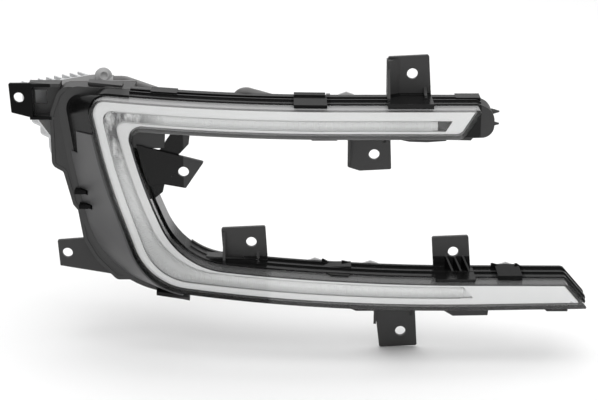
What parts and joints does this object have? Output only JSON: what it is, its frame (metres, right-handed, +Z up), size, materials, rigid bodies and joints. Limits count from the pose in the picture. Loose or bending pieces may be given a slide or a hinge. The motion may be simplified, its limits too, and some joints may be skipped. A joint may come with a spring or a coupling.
{
  "type": "daytime running light",
  "caption": "C-shaped bumper daytime running light: clear lens over a silver bezel and fluted light strip, black housing with mounting tabs, side panel, finned heat sink and rear socket.",
  "frame": {"origin": "midway between the hole of the right tab above the upper arm and the hole of the right tab below the lower arm, on the rear seat plane of the tabs", "axes": "+X along the arms towards the open end of the C, +Y to the rear, +Z up"},
  "size_m": [0.4372, 0.1371, 0.2292],
  "materials": {
    "clear_lens": "clear polished polycarbonate with a hard coat",
    "black_rubber": "matt black seal",
    "black_plastic": "black moulded polypropylene, low sheen",
    "grey_satin_plastic": "dark grey satin",
    "silver_plating": "satin silver plated plastic",
    "zinc_screw": "zinc plated steel",
    "light_guide": "fluted frosted inner lens",
    "dark_grey_plastic": "dark grey moulded plastic",
    "white_plastic": "white reflective plastic",
    "board_laminate": "white solder resist on laminate",
    "led_package": "yellow phosphor emitter",
    "connector_nylon": "natural nylon",
    "cast_aluminium": "cast, lightly blasted",
    "thermal_silicone": "soft silicone pad",
    "component_black": "black component bodies",
    "pin_brass": "tin plated brass",
    "seal_silicone": "orange silicone",
    "sleeve_rubber": "dark smooth sleeve",
    "grey_fitting": "light grey plastic"
  },
  "bodies": {
    "root": {"outer_lens": "clear_lens", "lens_seal": "black_rubber", "rear_housing": "black_plastic", "side_panel": "grey_satin_plastic", "reflector_bezel": "silver_plating", "bezel_screws": "zinc_screw", "fluted_light_strip": "light_guide", "strip_end_piece": "dark_grey_plastic", "reflector_tray": "white_plastic", "upper_light_board": "board_laminate", "leg_light_board": "board_laminate", "lower_light_board": "board_laminate", "upper_leds": "led_package", "leg_leds": "led_package", "lower_leds": "led_package", "board_connectors": "connector_nylon", "rear_cap": "black_plastic", "cap_seal": "black_rubber", "cap_screws": "zinc_screw", "heat_sink": "cast_aluminium", "heat_sink_gasket": "black_rubber", "heat_sink_screws": "zinc_screw", "thermal_pad": "thermal_silicone", "driver_board": "board_laminate", "driver_screws": "zinc_screw", "driver_components": "component_black", "connector_socket": "black_plastic", "connector_pins": "pin_brass", "connector_seal": "seal_silicone", "breather_cap": "dark_grey_plastic", "harness_sleeve": "sleeve_rubber", "sleeve_fitting": "grey_fitting", "sleeve_plug": "black_plastic"}
  },
  "joints": []
}
